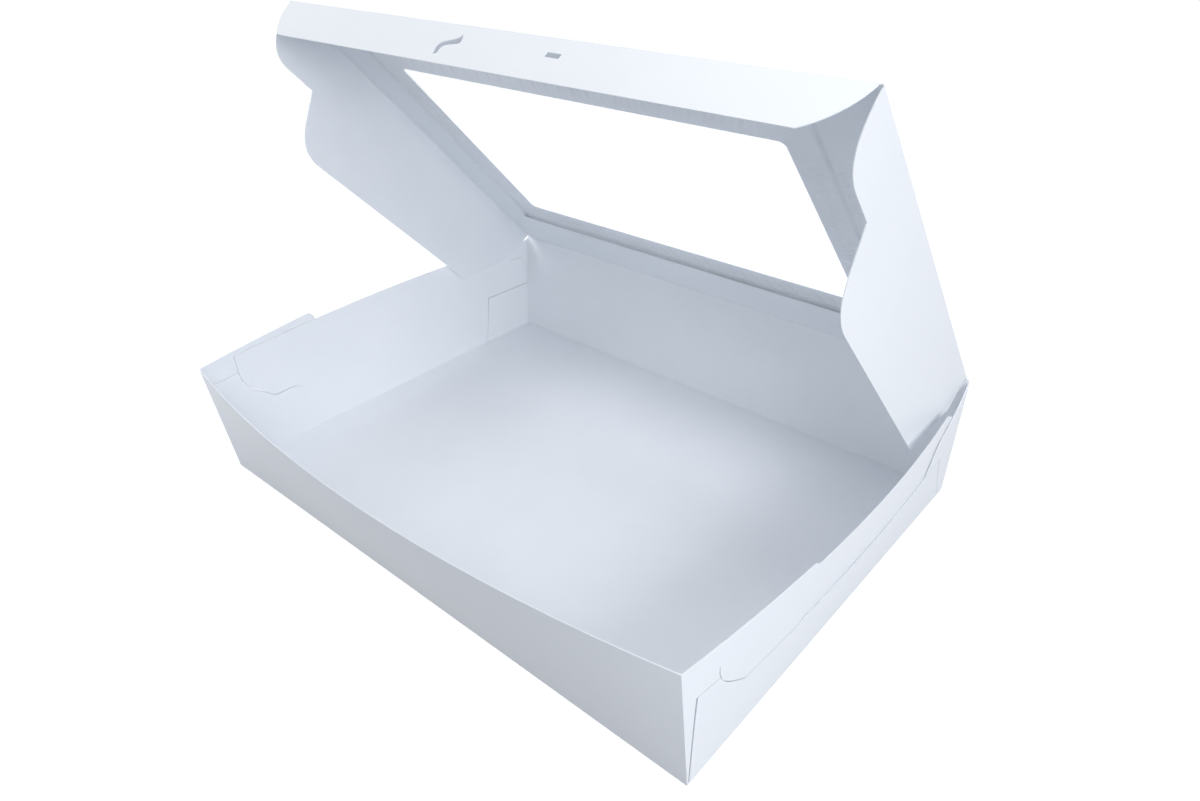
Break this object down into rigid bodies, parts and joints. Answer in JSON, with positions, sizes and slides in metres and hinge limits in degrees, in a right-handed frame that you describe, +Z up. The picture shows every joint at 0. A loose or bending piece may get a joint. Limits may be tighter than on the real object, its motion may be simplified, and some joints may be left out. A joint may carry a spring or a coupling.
{
  "type": "bakery window box",
  "caption": "Shallow folded paperboard bakery tray with lock corners and a hinged lid that has a clear film window, two side flaps and a front tuck flap.",
  "frame": {"origin": "middle of the floor's underside", "axes": "+Z up, +X to the right along the front wall, +Y from the front wall to the hinge"},
  "size_m": [0.5102, 0.3989, 0.3598],
  "materials": {
    "board": "coated white, slight sheen",
    "film": "clear, thin, slightly wrinkled"
  },
  "bodies": {
    "tray": {"tray": "board"},
    "lid": {"lid_panel": "board", "window_film": "film"},
    "front_flap": {"front_flap": "board"}
  },
  "joints": [
    {"name": "lid_hinge", "type": "hinge", "parent": "tray", "child": "lid", "pos_m": [0, 0.186, 0.1016], "axis": [-1, 0, 0], "range_deg": [-46.7, 132.1]},
    {"name": "front_fold", "type": "hinge", "parent": "lid", "child": "front_flap", "pos_m": [0, -0.04731, 0.35981], "axis": [-1, 0, 0], "range_deg": [-12.6, 77.4]}
  ]
}
